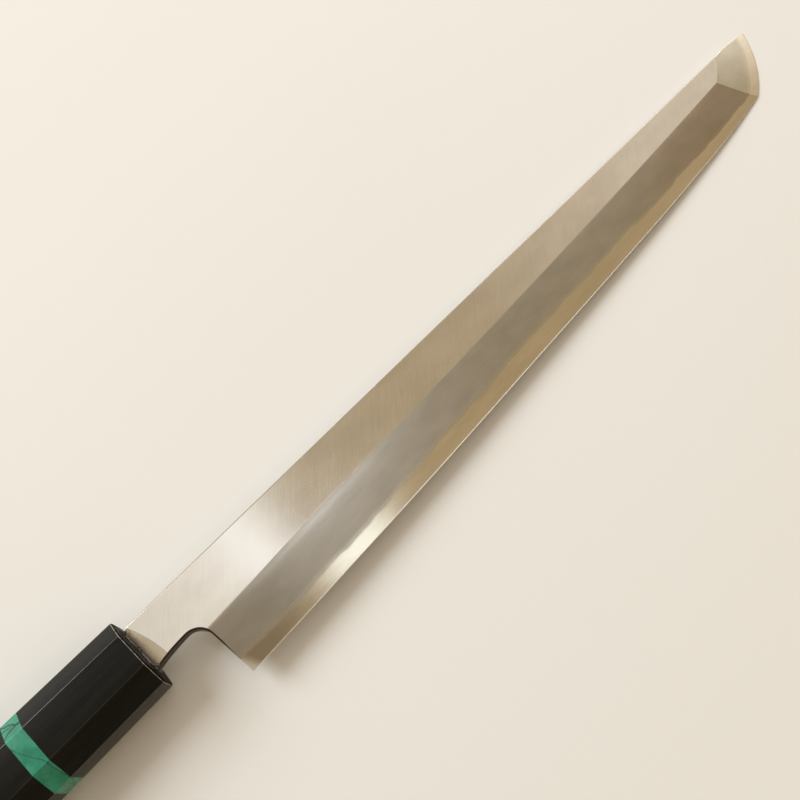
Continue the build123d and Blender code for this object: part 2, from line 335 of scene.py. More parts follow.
def build(name, patches, finishes, crease=math.radians(5), blended=()):
    """A closed mesh from grids of points: each grid's quads, merged where grids share a
    border, facing outwards, and sharp where two grids meet or bend past the crease. A
    patch is its points, the number of its finish or one for each quad, and near the seam
    its distance from that in millimetres, kept on the quads' corners because grids that
    meet differ in it. Blended holds pairs of patches that round into each other."""
    points, quads, patch_of, finish_of, seam_gap = [], [], [], [], []
    count = 0
    for number, (grid, finish, *gap) in enumerate(patches):
        rows, columns = grid.shape[:2]
        index = count + np.arange(rows * columns).reshape(rows, columns)
        count += rows * columns
        corners = (index[:-1, :-1], index[1:, :-1], index[1:, 1:], index[:-1, 1:])
        quads.append(np.stack(corners, -1).reshape(-1, 4))
        points.append(on_table(grid).reshape(-1, 3))
        patch_of.append(np.full(len(quads[-1]), number))
        finish_of.append(np.broadcast_to(finish, (rows - 1, columns - 1)).ravel())
        seam_gap.append(np.broadcast_to(gap[0] if gap else off_seam, (rows, columns)).ravel())
    quads = np.concatenate(quads)
    corner_gap = np.concatenate(seam_gap)[quads.ravel()]
    mesh = bpy.data.meshes.new(name)
    mesh.from_pydata(np.concatenate(points), [], quads)
    mesh.polygons.foreach_set("material_index", np.concatenate(finish_of))
    mesh.attributes.new("patch", "INT", "FACE").data.foreach_set("value", np.concatenate(patch_of))
    mesh.attributes.new("seam_gap", "FLOAT", "CORNER").data.foreach_set("value", corner_gap)

    joined = bmesh.new()
    joined.from_mesh(mesh)
    bmesh.ops.remove_doubles(joined, verts=joined.verts, dist=merge_distance)
    bmesh.ops.recalc_face_normals(joined, faces=joined.faces)
    joined.to_mesh(mesh)
    joined.free()

    mesh.shade_smooth()
    mesh.set_sharp_from_angle(angle=crease)
    edge_of_corner = read(mesh.loops, "edge_index")
    patch = read(mesh.attributes["patch"].data, "value")
    patch_of_corner = np.repeat(patch, read(mesh.polygons, "loop_total"))
    lowest = np.full(len(mesh.edges), len(patches))
    highest = np.full(len(mesh.edges), -1)
    np.minimum.at(lowest, edge_of_corner, patch_of_corner)
    np.maximum.at(highest, edge_of_corner, patch_of_corner)
    sharp = read(mesh.attributes["sharp_edge"].data, "value", bool) | (lowest != highest)
    for low, high in blended:
        sharp &= (lowest != low) | (highest != high)
    mesh.attributes["sharp_edge"].data.foreach_set("value", sharp)
    mesh.attributes.remove(mesh.attributes["patch"])

    for finish in finishes:
        mesh.materials.append(finish)
    return put(name, mesh)


columns, tip_columns, iron_rows, steel_rows = 300, 31, 16, 6
along = np.linspace(0, 1, columns)
around = np.linspace(0, 1, tip_columns)
bevel_seam = seam_down(bevel_point, along)
facet_seam = seam_down(facet_point, around)
iron_down = np.linspace(0, 1, iron_rows)[:, None]
bevel_iron = bevel_point(np.broadcast_to(along, (iron_rows, columns)), iron_down * bevel_seam)
facet_iron = facet_point(np.broadcast_to(around, (iron_rows, tip_columns)), iron_down * facet_seam)


# The flat starts at the ground neck, whose end bows across it. Its lower border is the
# neck's lower edge, the choil and the ridge, and its right one the tip's upper ridge.
def grind_x(y):
    """Where the neck's grind meets the flat: a straight slant with a shallow bow."""
    share = (spine_height - y) / neck_mouth_height
    slant = neck_grind_top + (neck_grind_bottom - neck_grind_top) * share
    return slant + 4 * neck_grind_bow * share * (1 - share)


def neck_y(x):
    """The neck's lower edge: level in the handle, then up an arc to the waist."""
    rise = np.sqrt(neck_arc_radius**2 - (np.maximum(x, 0) - choil_x) ** 2)
    return np.where(x < 0, mouth_y, waist_y - neck_arc_radius + rise)


def front(x, y):
    """Points of the flat at x and y. Short of the grind's end it falls away evenly."""
    slope = neck_grind_depth / neck_grind_bottom
    z = back_z + thickness(x) - slope * np.maximum(grind_x(y) - x, 0)
    return np.stack(np.broadcast_arrays(x, y, z), -1)


pull_start = 230.0


def tip_pull(x):
    """How far the slanting tip draws each column after it: nothing up to the pull's start,
    and from there the square of the way to the last column."""
    return np.clip((x - pull_start) / (x[-1] - pull_start), 0, 1) ** 2


ground_columns, scarf_columns, waist_columns, choil_columns = 6, 4, 6, 24
top_y = spine_height - spine_ease
grind_top_x = float(grind_x(top_y))
grind_foot_x = neck_grind_bottom
for _ in range(rounds):
    grind_foot_x = float(grind_x(neck_y(grind_foot_x) + choil_ease))
rim_turn_end = math.atan2(bevel_iron[0, 0, 1] - choil_y, bevel_iron[0, 0, 0] - choil_x)
rim_turn = np.linspace(math.pi / 2, rim_turn_end, choil_columns)[1:-1]
choil_rim = on_arc((choil_x, choil_y), choil_radius + choil_ease, rim_turn)
scarf_x = np.linspace(grind_foot_x, scarf_start, scarf_columns)
neck_x = np.concatenate([scarf_x, np.linspace(scarf_start, choil_x, waist_columns)[1:]])
neck_rim = np.stack([neck_x, neck_y(neck_x) + choil_ease], -1)
flat_low = np.concatenate([neck_rim, choil_rim, bevel_iron[0, :, :2]])
upper_ridge = facet_iron[0, ::-1]
flat_pull = tip_pull(flat_low[:, 0])
flat_top_x = np.concatenate(
    [np.linspace(grind_top_x, scarf_start, scarf_columns), flat_low[scarf_columns:, 0]]
)
flat_top_x = flat_top_x + flat_pull * (upper_ridge[0, 0] - flat_low[-1, 0])
start_pull = np.zeros(len(flat_low))
start_pull[:scarf_columns] = np.linspace(1, 0, scarf_columns)
row_share = np.linspace(0, 1, tip_columns)

ground_low_x = np.linspace(-neck_seat, grind_foot_x, ground_columns)
grind_y = top_y + (neck_y(grind_foot_x) + choil_ease - top_y) * row_share
ground = fill(
    front(np.linspace(-neck_seat, grind_top_x, ground_columns), top_y),
    front(ground_low_x, neck_y(ground_low_x) + choil_ease),
    front(-neck_seat, top_y + (mouth_y + choil_ease - top_y) * row_share),
    front(grind_x(grind_y), grind_y),
    right_reach=np.linspace(0, 1, ground_columns),
)
ground = front(ground[..., 0], ground[..., 1])
flat = fill(
    front(flat_top_x, spine_y(flat_top_x) - spine_ease),
    front(flat_low[:, 0], flat_low[:, 1]),
    ground[:, -1],
    upper_ridge,
    left_reach=start_pull,
    right_reach=flat_pull,
)

# Rounded corners and walls, along the spine and along neck, choil and heel.
spine_front = np.concatenate([ground[0], flat[0, 1:], facet_iron[1:, -1]])
spine_outer = np.stack([spine_front[:, 0], spine_y(spine_front[:, 0]), spine_front[:, 2]], -1)
spine_round = round_over(spine_front, spine_outer)
spine_wall = wall(spine_round[-1], seam_z(spine_front[:, 0]))
rim_end = len(flat_low) - columns + 1
heel_front = np.concatenate([ground[-1], flat[-1, 1:rim_end], bevel_iron[1:, 0]])
heel_down = np.concatenate([np.zeros(len(heel_front) - iron_rows), (iron_down * bevel_seam[0])[:, 0]])
heel_turn = np.arctan2(heel_front[:, 1] - choil_y, heel_front[:, 0] - choil_x)
heel_turn = np.clip(heel_turn, heel_lean, math.pi / 2)
heel_outer = heel_front.copy()
heel_outer[:, :2] -= on_arc(0, eased(heel_front[:, 0], heel_down, choil_ease)[:, None], heel_turn)
heel_round = round_over(heel_front, heel_outer)
heel_wall = wall(heel_round[-1], seam_z(heel_outer[:, 0]))

# The forged seam under the iron, between the feet of the walls and the line where it
# comes out on the bevel and on the tip's facet. Its rows near that line rise to it.
seam_upper = spine_wall[-1]
seam_lower = np.concatenate([heel_wall[-1], bevel_iron[-1, 1:]])
seam_left = seam_upper[0] + (seam_lower[0] - seam_upper[0]) * row_share[:, None]
seam_pull = tip_pull(seam_lower[:, 0])
seam = fill(seam_upper, seam_lower, seam_left, facet_iron[-1, ::-1], right_reach=seam_pull)
seam_rise = seam_lower[:, 2] - seam_z(seam_lower[:, 0])
seam[..., 2] = seam_z(seam[..., 0]) + seam_rise * row_share[:, None] ** seam_rise_power

# The tang: the neck's end section, drawn in at a shoulder and tapered to its end.
end_section = np.concatenate(
    [ground[:, 0], heel_round[1:, 0], heel_wall[1:, 0]]
    + [side[::-1, 0][1:] for side in (seam, spine_wall, spine_round)]
)
neck_middle = np.array([(spine_height + mouth_y) / 2, 0])
section_share = (end_section[:, 1:] - neck_middle) / (neck_mouth_height, stock_thickness)
tang_sections = ((-neck_seat, tang_front), (-tang_length, tang_back), (-tang_length, (0, 0)))
tang = np.stack(
    [end_section] + [np.insert(section_share * size, 0, x, axis=1) for x, size in tang_sections]
)

bevel_gap = (1 - iron_down) * np.linalg.norm(bevel_iron[0] - bevel_iron[-1], axis=-1)
facet_gap = (1 - iron_down) * np.linalg.norm(facet_iron[0] - facet_iron[-1], axis=-1)


class Value:
    """A shader value. Operators on it add Math nodes, whichever side of them it stands."""

    def __init__(self, finish, socket):
        self.finish = finish
        self.socket = socket

    def math(self, operation, *values):
        return self.finish.node("Math", {"operation": operation}, dict(enumerate(values)))


for sign, name in (("add", "ADD"), ("sub", "SUBTRACT"), ("mul", "MULTIPLY"), ("truediv", "DIVIDE")):
    setattr(Value, f"__{sign}__", lambda self, other, kind=name: self.math(kind, self, other))
    setattr(Value, f"__r{sign}__", lambda self, other, kind=name: self.math(kind, other, self))


class Finish:
    """A material being made. One method adds any node: its settings first, and then a
    value or a link for each named or numbered socket. The others say what they add."""

    def __init__(self, name):
        self.material = bpy.data.materials.new(name)
        self.material.use_nodes = True
        self.tree = self.material.node_tree
        self.tree.nodes.clear()

    def node(self, kind, settings, sockets, output=0):
        node = self.tree.nodes.new("ShaderNode" + kind)
        for name, value in settings.items():
            setattr(node, name, value)
        for name, value in sockets.items():
            if isinstance(value, Value):
                self.tree.links.new(value.socket, node.inputs[name])
            else:
                node.inputs[name].default_value = value
        return Value(self, node.outputs[output] if len(node.outputs) else None)

    def vector(self, operation, first, second):
        """Vector Math on two vectors."""
        return self.node("VectorMath", {"operation": operation}, {0: first, 1: second})

    def on_knife(self, stretch=(1, 1, 1), shift=(0, 0, 0)):
        """Knife millimetres from Object coordinates, plus the shift and times the stretch."""
        place = self.node("TexCoord", {}, {}, output="Object")
        sockets = {
            "Vector": place,
            "Location": tuple(-1000 * (knife_axes @ knife_zero)),
            "Rotation": (0, math.atan2(forward[2], forward[0]), 0),
            "Scale": (1000, 1000, 1000),
        }
        knife = self.node("Mapping", {"vector_type": "POINT"}, sockets)
        return self.vector("MULTIPLY", self.vector("ADD", knife, shift), stretch)

    def measure(self, axis):
        """The knife's own X or Y, in millimetres."""
        return self.node("SeparateXYZ", {}, {"Vector": self.on_knife()}, output=axis)

    def noise(self, vector, scale=1.0, detail=2.0, roughness=0.5):
        """Cloudy noise of 0 to 1 on a vector."""
        sockets = {"Vector": vector, "Scale": scale, "Detail": detail, "Roughness": roughness}
        return self.node("TexNoise", {}, sockets)

    def mottle(self, stretch, shift=(0, 0, 0), **settings):
        """Cloudy noise on the knife: a small stretch draws it out along that axis."""
        return self.noise(self.on_knife(stretch, shift), **settings)

    def spread(self, value, low, high):
        """The value carried from low..high to 0..1, smoothly and held at both ends."""
        settings = {"interpolation_type": "SMOOTHSTEP"}
        return self.node("MapRange", settings, {"Value": value, "From Min": low, "From Max": high})

    def blend(self, share, first, second):
        """A colour between two, by the share of the second."""
        colours = [c if isinstance(c, Value) else (*c, 1) for c in (first, second)]
        sockets = {0: share, 6: colours[0], 7: colours[1]}
        return self.node("Mix", {"data_type": "RGBA"}, sockets, output=2)

    def finished(self, tones, bump=None, **sockets):
        """The material with a Principled shader: tones are a share and the two colours that
        it blends, bump is a height of 0 to 1 and the depth in metres that this stands for,
        and the other sockets go by their names."""
        sockets = {name.replace("_", " "): value for name, value in sockets.items()}
        sockets["Base Color"] = self.blend(*tones)
        if bump:
            relief = {"Height": bump[0], "Distance": bump[1], "Strength": 1.0}
            sockets["Normal"] = self.node("Bump", {}, relief, output="Normal")
        surface = self.node("BsdfPrincipled", {}, sockets)
        self.node("OutputMaterial", {}, {"Surface": surface})
        return self.material


hair_lean = math.radians(44)
seam_roughness = 0.24
bevel_seam_tone = (0.56, 0.525, 0.445)
# The facet's seam tone is lighter than the bevel's, partly as painted highlight.
facet_lightened_seam_tone = (0.73, 0.68, 0.57)
# Painted shade and reflection on the bevel: the share of grey painted shade near the heel, the span it
# fades over, and the span where a brown painted reflection comes in toward the tip.
bevel_painted_share, no_painted_share = 0.22, 0.0
heel_painted_shade_span = (36.0, 60.0)
tip_painted_reflection_span = (195.0, 262.0)


def satin_iron():
    """The flat: bright iron with fine hairlines, drawn aslant across the blade."""
    finish = Finish("satin_iron")
    turned = {"Vector": finish.on_knife(), "Angle": hair_lean}
    lean = finish.node("VectorRotate", {"rotation_type": "Z_AXIS"}, turned)
    hairs = finish.noise(finish.vector("MULTIPLY", lean, (3.2, 0.10, 0.3)), detail=4.0, roughness=0.7)
    clouds = finish.mottle((0.05, 0.09, 0.1), (40, 0, 0), detail=3.0)
    tone = finish.spread(0.6 * clouds + 0.4 * hairs, 0.3, 0.7)
    return finish.finished(
        tones=(tone, (0.715, 0.685, 0.63), (0.815, 0.79, 0.725)),
        Metallic=1.0,
        Roughness=0.12 + 0.04 * clouds + 0.06 * hairs,
        bump=(hairs, 2.2e-6),
    )


def painted_shade_and_reflection(finish, along, colour, share):
    """The colour under painted shade and reflection: a grey painted shade near the heel, and over more
    of the way to the tip a brown painted reflection half as strong again, as the tones of a blend."""
    # Painted shade: grey near the heel. Painted reflection: brown toward the tip.
    heel_shade = share * (1 - finish.spread(along, *heel_painted_shade_span))
    tip_reflection = 1.5 * share * finish.spread(along, *tip_painted_reflection_span)
    heel_shaded = finish.blend(heel_shade, colour, (0.08, 0.072, 0.06))
    return tip_reflection, heel_shaded, (0.27, 0.15, 0.03)


def seam_nearness(finish, drift, least, more):
    """1 on the seam, and 0 past a gap that drifts between the least and that much more."""
    gap = finish.node("Attribute", {"attribute_name": "seam_gap"}, {}, output="Fac")
    return 1 - finish.spread(gap / (least + more * drift), 0.0, 1.0)


def misted_iron(name, dark, light, at_seam, base_roughness, painted_share):
    """Iron clouded by fine stones, with faint streaks along the blade, and nearing the hard steel's
    tone in a soft band that drifts where the two meet. The painted share is the share of grey painted
    shade near the heel; the brown painted reflection toward the tip takes half as much again."""
    finish = Finish(name)
    streaks = finish.mottle((0.10, 1.3, 1.3), detail=4.0, roughness=0.6)
    clouds = finish.mottle((0.09, 0.20, 0.20), (11, 3, 0), detail=5.0, roughness=0.6)
    drift = finish.mottle((0.10, 0.2, 0.2), (3, 8, 0), detail=1.0)
    near_seam = seam_nearness(finish, drift, 0.5, 2.0)
    mist = finish.blend(finish.spread(0.25 * streaks + 0.75 * clouds, 0.3, 0.7), dark, light)
    toned = finish.blend(near_seam, mist, at_seam)
    clouded = base_roughness + 0.06 * clouds
    return finish.finished(
        tones=painted_shade_and_reflection(finish, finish.measure("X"), toned, painted_share),
        Metallic=1.0,
        Roughness=clouded + near_seam * (seam_roughness - clouded),
        bump=(streaks, 8e-7),
    )


def filed_iron(name, dark, light, ferrule_shade):
    """The spine and the neck's ground front: iron filed and rubbed down, darker than the flat, and
    darkened brown by the share given where it enters the ferrule, as painted shade."""
    finish = Finish(name)
    marks = finish.mottle((0.5, 0.5, 3.0), detail=3.0, roughness=0.6)
    clouds = finish.mottle((0.12, 0.12, 0.12), detail=2.0)
    # Painted shade: brown darkening where the iron enters the ferrule.
    shade_by_ferrule = ferrule_shade * (1 - finish.spread(finish.measure("X") + 3 * (marks - 0.5), 0.0, 2.4))
    return finish.finished(
        tones=(shade_by_ferrule, finish.blend(clouds, dark, light), (0.13, 0.10, 0.065)),
        Metallic=1.0,
        Roughness=0.21 + 0.1 * marks,
        bump=(marks, 4e-6),
    )


def painted_reflection_iron():
    """Neck's underside, choil and tang: dark iron whose red-brown tone is a painted reflection, rubbed
    brighter in patches."""
    finish = Finish("painted_reflection_iron")
    clouds = finish.mottle((0.35, 0.35, 0.35), (5, 0, 0), detail=4.0, roughness=0.65)
    grit = finish.mottle((2.0, 2.0, 2.0), detail=3.0)
    worn = finish.spread(clouds, 0.45, 0.8)
    return finish.finished(
        # The red-brown of these tones is a painted reflection.
        tones=(worn, (0.030, 0.017, 0.012), (0.12, 0.075, 0.05)),
        Metallic=0.6 + 0.3 * worn,
        Roughness=0.34 + 0.12 * grit,
        bump=(grit, 6e-6),
    )


bevel_mist = ((0.433, 0.409, 0.363), (0.495, 0.466, 0.412))
# The tip's facet is polished, and its tones are also lighter than the bevel's as painted highlight.
facet_lightened_tones = ((0.62, 0.60, 0.51), (0.69, 0.67, 0.575))
cladding = build(
    "cladding",
    [
        (ground, 4), (flat, 0), (bevel_iron, 1, bevel_gap), (facet_iron, 2, facet_gap),
        (spine_round, 3), (spine_wall, 3), (heel_round, 5), (heel_wall, 5), (seam, 3), (tang, 5),
    ],
    [
        satin_iron(),
        misted_iron("misted_iron", *bevel_mist, bevel_seam_tone, 0.28, bevel_painted_share),
        misted_iron("polished_facet_painted_highlight", *facet_lightened_tones, facet_lightened_seam_tone, 0.20, no_painted_share),
        filed_iron("filed_spine", (0.60, 0.56, 0.50), (0.70, 0.66, 0.59), 0.3),
        filed_iron("ground_neck", (0.52, 0.46, 0.355), (0.60, 0.54, 0.43), 0.6),
        painted_reflection_iron(),
    ],
    blended=[(1, 2)],
)
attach(cladding, "root")
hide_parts("jigane")


# Hard steel. High-carbon steel welded behind the iron: it is the whole back, ground
# hollow on a wheel with a narrow flat rim round it, and the cutting edge, which shows
# brighter than the mist below the seam. A fine hone takes the edge's last few tenths.
hone_width = 0.22
hone_angle = math.radians(9)
hone_lift = hone_width * math.tan(hone_angle)
back_rim = 1.5
wheel_radius = 400.0
hollow_start = 2.2
hollow_end_length = 7.0
hollow_radius = tip_arc_radius - back_rim
hollow_arc_start = edge_corner_x - 8
# Spans of the painted shade on the steel short of the heel and of the painted highlight on the heel's
# corner.
steel_heel_shade_span = (27.0, 56.0)
corner_highlight_span = (19.5, 23.5)


def steel_grid(surface, places, seam_share):
    """The steel below the seam on a front surface, with the hone's border as its last row
    but one. The steel swells by the hone's lift from the seam to that border."""
    at_edge = surface(places, np.ones(places.shape))
    width = np.linalg.norm(surface(places, seam_share) - at_edge, axis=-1)
    hone_share = 1 - hone_width / width
    above_hone = np.linspace(0, 1, steel_rows - 1)[:, None] * hone_share
    below = np.concatenate([above_hone, np.ones((1, len(places)))])
    grid = surface(np.broadcast_to(places, below.shape), seam_share + (1 - seam_share) * below)
    grid[:-1, :, 2] += hone_lift * (below[:-1] / hone_share)
    return grid, below * width


bevel_steel, bevel_steel_gap = steel_grid(bevel_point, along, bevel_seam)
facet_steel, facet_steel_gap = steel_grid(facet_point, around, facet_seam)
hone = np.concatenate([bevel_steel[-2:], facet_steel[-2:, 1:]], 1)

# Walls down to the back, from the scarf's thin end in the neck on.
scarf_column = ground_columns + scarf_columns - 2
steel_spine_top = np.concatenate([seam_upper[scarf_column:], facet_steel[1:, -1]])
steel_heel_top = np.concatenate([seam_lower[scarf_column : len(heel_front)], bevel_steel[1:, 0]])
steel_spine = wall(steel_spine_top, back_z, rows=3)
steel_heel = wall(steel_heel_top, back_z, rows=3)
steel_seam = seam[:, scarf_column:]

# The back's outline and the hollow's, side by side with as many points each.
outline_lower = np.concatenate([steel_heel[-1], bevel_steel[-1, 1:]])
outline_upper = steel_spine[-1]
outline_left = steel_seam[:, 0]
outline_right = facet_steel[-1, ::-1]


def hollow_upper_y(x):
    """The hollow's upper border: the rim's width under the spine."""
    return spine_y(x) - back_rim


def hollow_arc_y(x):
    """The lower half of the circle that is the rim's width inside the tip's arc."""
    return tip_centre[1] - np.sqrt(np.maximum(hollow_radius**2 - (x - tip_centre[0]) ** 2, 0))


def hollow_lower_y(x):
    """The hollow's lower border: the rim's width inside the edge, and inside the arc."""
    inside_edge = edge_y(x) + back_rim
    return np.where(x > hollow_arc_start, np.maximum(inside_edge, hollow_arc_y(x)), inside_edge)


hollow_x = neck_length + hollow_start + hollow_end_length
hollow_top, hollow_foot = float(hollow_upper_y(hollow_x)), float(hollow_lower_y(hollow_x))
hollow_y, hollow_half = (hollow_top + hollow_foot) / 2, (hollow_top - hollow_foot) / 2
hollow_corner_x = float(crossing(
    lambda x: hollow_arc_y(x) - edge_y(x) - back_rim, hollow_arc_start, edge_corner_x + 4
))
hollow_point_x = float(crossing(
    lambda x: tip_distance(x, hollow_upper_y(x)) - hollow_radius, edge_corner_x, tip_x
))


def hollow_end(turn):
    """The hollow's end by the heel: half an ellipse, by the turn from the spine's side."""
    x = hollow_x - hollow_end_length * np.sin(turn)
    return np.stack([x, hollow_y + hollow_half * np.cos(turn)], -1)


def hollow_depth(x, y):
    """The wheel's print: the product of the distances to the two borders over twice the
    wheel's radius, and less on the end by the ellipse's own rule."""
    across = (hollow_upper_y(x) - y) * (y - hollow_lower_y(x))
    at_end = hollow_half**2 * (1 - ((hollow_x - x) / hollow_end_length) ** 2) - (y - hollow_y) ** 2
    return np.where(x < hollow_x, at_end, across) / (2 * wheel_radius)


end_corner = math.acos(-hollow_y / hollow_half)
hollow_left = hollow_end(np.linspace(0, end_corner, tip_columns))
upper_x = np.linspace(hollow_x, hollow_point_x, len(outline_upper))
hollow_upper = np.stack([upper_x, hollow_upper_y(upper_x)], -1)
lower_x = np.linspace(hollow_x, hollow_corner_x, columns)
lower_end = hollow_end(np.linspace(end_corner, math.pi, len(outline_lower) - columns + 1))
hollow_lower = np.concatenate([lower_end[:-1], np.stack([lower_x, hollow_lower_y(lower_x)], -1)])
right_turn = np.linspace(tip_turn(*hollow_upper[-1]), tip_turn(*hollow_lower[-1]), tip_columns)
hollow_right = on_arc(tip_centre, hollow_radius, right_turn)
heel_bow_columns, tip_bow_columns = 40, 60
steps = np.arange(len(hollow_upper))
hollow = fill(
    hollow_upper,
    hollow_lower,
    hollow_left,
    hollow_right,
    left_reach=np.clip(1 - steps / heel_bow_columns, 0, 1) ** 2,
    right_reach=np.clip(1 - steps[::-1] / tip_bow_columns, 0, 1) ** 2,
)
hollow_z = back_z + hollow_depth(hollow[..., 0], hollow[..., 1])
hollow = np.concatenate([hollow, hollow_z[..., None]], -1)


def around_border(upper, lower, left, right):
    """The closed line round four borders, from the spine's side by the tip and the edge."""
    return np.concatenate([upper, right[1:], lower[-2::-1], left[-2::-1]])


rim = np.stack([
    around_border(outline_upper, outline_lower, outline_left, outline_right),
    around_border(hollow[0], hollow[-1], hollow[:, 0], hollow[:, -1]),
])


def bare_steel(name, dark, light, at_seam, base_roughness, painted_share):
    """The steel below the seam: clear of the mist, warm and bright, with fine streaks along the edge,
    and still a little misted at the seam. Short of the heel it is darkened as painted shade, and on the
    heel's corner it is duller but lightened as a painted highlight."""
    finish = Finish(name)
    streaks = finish.mottle((0.15, 1.6, 1.6), detail=4.0, roughness=0.6)
    clouds = finish.mottle((0.045, 0.2, 0.2), (7, 5, 0), detail=3.0)
    drift = finish.mottle((0.12, 0.2, 0.2), detail=1.0)
    near_seam = seam_nearness(finish, drift, 0.25, 1.2)
    along = finish.measure("X")
    # Painted shade darkens the steel short of the heel; a painted highlight lightens the heel's corner.
    heel_shade = 1 - finish.spread(along + 12 * (clouds - 0.5), *steel_heel_shade_span)
    from_corner = along + 0.5 * (finish.measure("Y") - heel_y)
    corner_highlight = 1 - finish.spread(from_corner, *corner_highlight_span)
    steel = finish.blend(finish.spread(0.3 * streaks + 0.7 * clouds, 0.3, 0.7), dark, light)
    heel_shade_tones = finish.blend(corner_highlight, (0.40, 0.365, 0.31), (0.74, 0.73, 0.69))
    steel_with_painted_shade = finish.blend(heel_shade, steel, heel_shade_tones)
    clouded = base_roughness + 0.05 * clouds
    return finish.finished(
        tones=(near_seam, steel_with_painted_shade, finish.blend(*painted_shade_and_reflection(finish, along, at_seam, painted_share))),
        Metallic=1.0,
        Roughness=clouded + near_seam * (seam_roughness - clouded) + 0.16 * corner_highlight,
        bump=(streaks, 1.5e-6),
    )


def ground_steel():
    """The back: steel with the wheel's fine lines across its hollow, and a polished rim."""
    finish = Finish("ground_steel")
    lines = finish.mottle((3.0, 0.05, 0.05), detail=3.0, roughness=0.7)
    clouds = finish.mottle((0.05, 0.08, 0.08), (3, 9, 0), detail=3.0)
    return finish.finished(
        tones=(clouds, (0.66, 0.63, 0.57), (0.78, 0.75, 0.69)),
        Metallic=1.0,
        Roughness=0.2 + 0.12 * lines,
        bump=(lines, 3e-6),
    )


def polished_rim():
    """The flat rim of the back and the honed edge: steel off the finest stone."""
    finish = Finish("polished_rim")
    clouds = finish.mottle((0.3, 0.3, 0.3), detail=3.0)
    return finish.finished(
        tones=(clouds, (0.78, 0.75, 0.69), (0.86, 0.84, 0.79)),
        Metallic=1.0,
        Roughness=0.2 + 0.05 * clouds,
    )


bevel_tones = ((0.68, 0.615, 0.48), (0.77, 0.70, 0.56))
# The steel on the tip's arc is lighter than the bevel's, partly as painted highlight.
arc_lightened_tones = ((0.81, 0.75, 0.62), (0.88, 0.82, 0.69))
core = build(
    "core",
    [
        (bevel_steel[:-1], 0, bevel_steel_gap[:-1]),
        (facet_steel[:-1], 3, facet_steel_gap[:-1]),
        (hone, 2), (steel_spine, 1), (steel_heel, 1), (steel_seam, 1), (rim, 2), (hollow, 1),
    ],
    [
        bare_steel("bare_steel", *bevel_tones, bevel_seam_tone, 0.12, bevel_painted_share),
        ground_steel(),
        polished_rim(),
        bare_steel("arc_steel", *arc_lightened_tones, facet_lightened_seam_tone, 0.19, no_painted_share),
    ],
)
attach(core, "root")
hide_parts("hagane")


# Ferrule. The handle's front piece: black-dyed hardwood, eight-sided with softened
# corners, slotted for the neck and bored from behind for the dowel, and glued on it.
flat_turns = np.radians([0.0, 48.6, 90.0, 131.4, 180.0, 228.6, 270.0, 311.4])
front_sizes = np.array([23.8, 23.3, 21.1, 23.3] * 2)
butt_sizes = np.array([26.7, 26.0, 22.3, 26.0] * 2)
arris_radius = 0.4
arris_points = 6
ferrule_length = 34.6
slot_depth = 9.0
slot_size = (8.4, 2.4)
dowel_bore = 7.05
joint_ease = 0.05
chamfer_x = (0, -0.05, -0.24, -0.50, -0.68)
chamfer_inset = (0.70, 0.50, 0.24, 0.06, 0)


def octagon(x, inset):
    """The handle's outline at each x, drawn in by each inset: eight flats on the taper,
    and an arc of the arris's radius that touches each flat and the next."""
    x, inset = np.asarray(x, float)[:, None], np.asarray(inset, float)[:, None]
    across = front_sizes + (front_sizes - butt_sizes) * x / handle_length
    reach = across / 2 - inset - arris_radius
    turn, next_turn = flat_turns, np.append(flat_turns[1:], 2 * math.pi)
    following = np.roll(reach, -1, axis=1)
    spread = np.sin(next_turn - turn)
    y = (reach * np.sin(next_turn) - following * np.sin(turn)) / spread
    z = (following * np.cos(turn) - reach * np.cos(next_turn)) / spread
    arc = turn[:, None] + (next_turn - turn)[:, None] * np.linspace(0, 1, arris_points)
    loop = on_arc(np.stack([y, z], -1)[:, :, None], arris_radius, arc).reshape(len(x), -1, 2)
    loop = np.insert(loop, 0, x, axis=2)
    return np.concatenate([loop, loop[:, :1]], 1)


outline = octagon([0], [0])[0]
on_arris = np.arange(len(outline) - 1) % arris_points < arris_points - 1
loop_turns = np.arctan2(outline[:, 2], outline[:, 1])
unit_ring = np.stack([0 * loop_turns, np.cos(loop_turns), np.sin(loop_turns)], -1)


def rings(x, ring):
    """A ring of points about the handle's axis, repeated at each x."""
    return np.asarray(x, float)[:, None, None] * (1, 0, 0) + ring


def slot_mouth(x):
    """The neck's slot at each x: a rectangle with rounded corners, as the curve where the
    sixth powers of y and z over its half sizes add up to one."""
    powers = np.abs(unit_ring[:, 1:] / slot_size) ** 6
    reach = (powers[:, 0] + powers[:, 1]) ** (-1 / 6)
    return rings(x, unit_ring * reach[:, None] + (0, neck_middle[0], 0))


def between(*loops, finish=0):
    """Patches of one finish, each straight from a loop to the next."""
    return [(np.stack(pair), finish) for pair in zip(loops, loops[1:])]


def black_wood(name, shift):
    """Near-black dyed hardwood, oiled to a satin: short open pores and faint brown
    figure along the handle, and a sheen that breaks up over them."""
    finish = Finish(name)
    pores = finish.mottle((0.35, 3.6, 3.6), shift, detail=3.0, roughness=0.6)
    figure = finish.mottle((0.03, 0.35, 0.35), shift, detail=4.0, roughness=0.6)
    open_pore = 1 - finish.spread(pores, 0.30, 0.42)
    dark, brown = (0.0026, 0.0026, 0.0015), (0.0063, 0.0060, 0.0036)
    wood = finish.blend(finish.spread(figure, 0.35, 0.7), dark, brown)
    return finish.finished(
        tones=(0.7 * open_pore, wood, (0.0015, 0.0014, 0.0012)),
        Specular_IOR_Level=0.17,
        Roughness=0.24 + 0.06 * figure + 0.1 * open_pore,
        bump=(1 - open_pore, 3e-6),
    )


